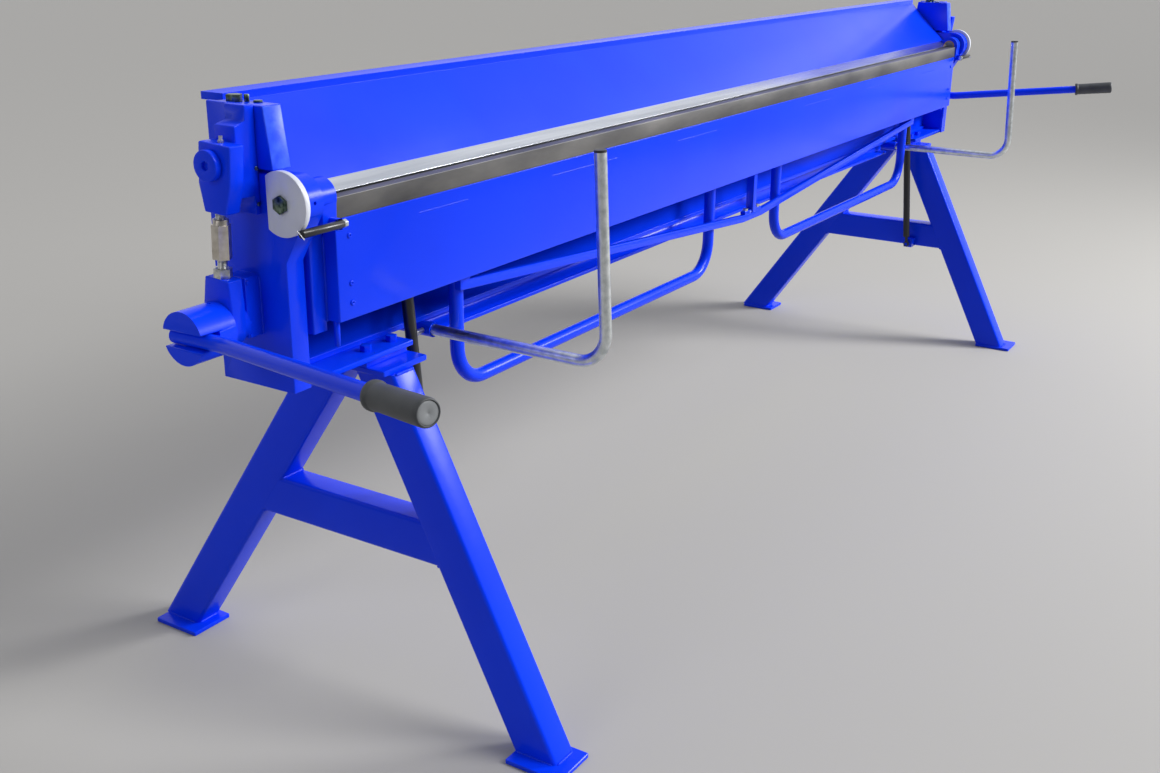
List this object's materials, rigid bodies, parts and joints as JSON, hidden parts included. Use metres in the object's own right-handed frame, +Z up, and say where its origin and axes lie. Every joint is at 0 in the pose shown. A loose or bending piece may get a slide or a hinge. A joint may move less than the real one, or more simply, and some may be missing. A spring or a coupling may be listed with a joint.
{
  "type": "sheet metal folding brake",
  "caption": "Long hand-operated sheet metal folding brake on two trestles, with a folding wing, a lifting clamping beam and side levers.",
  "frame": {"origin": "on the floor under the middle of the machine's bounding box", "axes": "+X along the machine to its right end, +Y from the operator to the back, +Z up"},
  "size_m": [3.8948, 1.1318, 1.145],
  "materials": {
    "blue_paint": "gloss",
    "polished_steel": "polished",
    "bare_steel": "satin",
    "zinc": "satin",
    "nickel": "satin",
    "galvanised": "satin",
    "black_metal": "satin",
    "chrome_rod": "polished",
    "grey_disc": "satin",
    "bronze": "satin",
    "grip_rubber": "matte",
    "black_plastic": "matte"
  },
  "bodies": {
    "frame": {"left_trestle": "blue_paint", "right_trestle": "blue_paint", "spacer_plates": "blue_paint", "left_side_frame": "blue_paint", "right_side_frame": "blue_paint", "lower_beam": "blue_paint", "bed_bar": "polished_steel", "frame_bolts": "blue_paint", "hinge_pins": "bare_steel", "thrust_washers": "bare_steel", "angle_discs": "grey_disc", "disc_bolts": "zinc", "shaft_bushes": "bronze", "guide_keys": "polished_steel", "support_sockets": "blue_paint", "socket_screws": "zinc", "spring_brackets": "blue_paint"},
    "wing": {"wing_plate": "blue_paint", "wing_edge_bar": "bare_steel", "wing_arms": "blue_paint", "arm_bushes": "bronze", "wing_handles": "blue_paint", "truss_bow": "blue_paint", "truss_post": "blue_paint", "truss_screws": "zinc", "stop_rods": "black_metal", "angle_pointers": "black_metal", "wing_screws": "blue_paint"},
    "clamping_beam": {"clamp_beam": "blue_paint", "nose_bar": "polished_steel", "end_plates": "blue_paint", "slide_blocks": "blue_paint", "link_pins": "blue_paint", "slide_bolts": "zinc"},
    "left_link": {"left_link_eye": "blue_paint", "left_grease_nipple": "zinc", "left_turnbuckle": "nickel", "left_link_screw": "zinc", "left_lock_nut": "zinc", "left_link_strap": "blue_paint"},
    "left_lever": {"left_lever_hub": "blue_paint", "left_lever_tube": "blue_paint", "left_lever_grip": "grip_rubber"},
    "left_spring_tube": {"left_gas_spring_tube": "black_metal"},
    "left_spring_rod": {"left_gas_spring_rod": "chrome_rod"},
    "left_support": {"left_support_arm": "galvanised", "left_support_plug": "black_plastic"},
    "right_link": {"right_link_eye": "blue_paint", "right_grease_nipple": "zinc", "right_turnbuckle": "nickel", "right_link_screw": "zinc", "right_lock_nut": "zinc", "right_link_strap": "blue_paint"},
    "right_lever": {"right_lever_hub": "blue_paint", "right_lever_tube": "blue_paint", "right_lever_grip": "grip_rubber"},
    "right_spring_tube": {"right_gas_spring_tube": "black_metal"},
    "right_spring_rod": {"right_gas_spring_rod": "chrome_rod"},
    "right_support": {"right_support_arm": "galvanised", "right_support_plug": "black_plastic"}
  },
  "joints": [
    {"name": "wing_fold", "type": "hinge", "parent": "frame", "child": "wing", "pos_m": [0, -0.07406, 0.994], "axis": [-1, 0, 0], "range_deg": [0, 135]},
    {"name": "beam_lift", "type": "slide", "parent": "frame", "child": "clamping_beam", "axis": [0, 0, 1], "range_m": [0, 0.0047]},
    {"name": "left_lever_turn", "type": "hinge", "parent": "frame", "child": "left_lever", "pos_m": [-1.7, 0.01494, 0.804], "axis": [1, 0, 0], "range_deg": [-90, 0]},
    {"name": "left_link_tilt", "type": "hinge", "parent": "clamping_beam", "child": "left_link", "pos_m": [-1.70625, 0.00094, 1.054], "axis": [-1, 0, 0], "range_deg": [0, 1.02]},
    {"name": "left_spring_tilt", "type": "hinge", "parent": "frame", "child": "left_spring_tube", "pos_m": [-1.328, -0.06906, 0.34], "axis": [1, 0, 0], "range_deg": [0, 14.32]},
    {"name": "left_spring_stroke", "type": "slide", "parent": "left_spring_tube", "child": "left_spring_rod", "axis": [0, 0.0889, 0.996], "range_m": [0, 0.11643]},
    {"name": "left_support_slide", "type": "slide", "parent": "frame", "child": "left_support", "axis": [0, -1, 0], "range_m": [0, 0.07]},
    {"name": "right_lever_turn", "type": "hinge", "parent": "frame", "child": "right_lever", "pos_m": [1.7, 0.01494, 0.804], "axis": [1, 0, 0], "range_deg": [-90, 0]},
    {"name": "right_link_tilt", "type": "hinge", "parent": "clamping_beam", "child": "right_link", "pos_m": [1.70625, 0.00094, 1.054], "axis": [-1, 0, 0], "range_deg": [0, 1.02]},
    {"name": "right_spring_tilt", "type": "hinge", "parent": "frame", "child": "right_spring_tube", "pos_m": [1.328, -0.06906, 0.34], "axis": [1, 0, 0], "range_deg": [0, 14.32]},
    {"name": "right_spring_stroke", "type": "slide", "parent": "right_spring_tube", "child": "right_spring_rod", "axis": [0, 0.0889, 0.996], "range_m": [0, 0.11643]},
    {"name": "right_support_slide", "type": "slide", "parent": "frame", "child": "right_support", "axis": [0, -1, 0], "range_m": [0, 0.07]}
  ],
  "couplings": [
    {"joint": "left_link_tilt", "follows": "left_lever_turn", "ratio": -0.011252},
    {"joint": "left_spring_tilt", "follows": "wing_fold", "ratio": 0.10592},
    {"joint": "left_spring_stroke", "follows": "wing_fold", "m_per_rad": 0.049328},
    {"joint": "right_link_tilt", "follows": "left_lever_turn", "ratio": -0.011252},
    {"joint": "right_spring_tilt", "follows": "wing_fold", "ratio": 0.10592},
    {"joint": "right_spring_stroke", "follows": "wing_fold", "m_per_rad": 0.049328},
    {"joint": "right_lever_turn", "follows": "left_lever_turn", "ratio": 1},
    {"joint": "beam_lift", "follows": "left_lever_turn", "m_per_rad": -0.0029921}
  ]
}
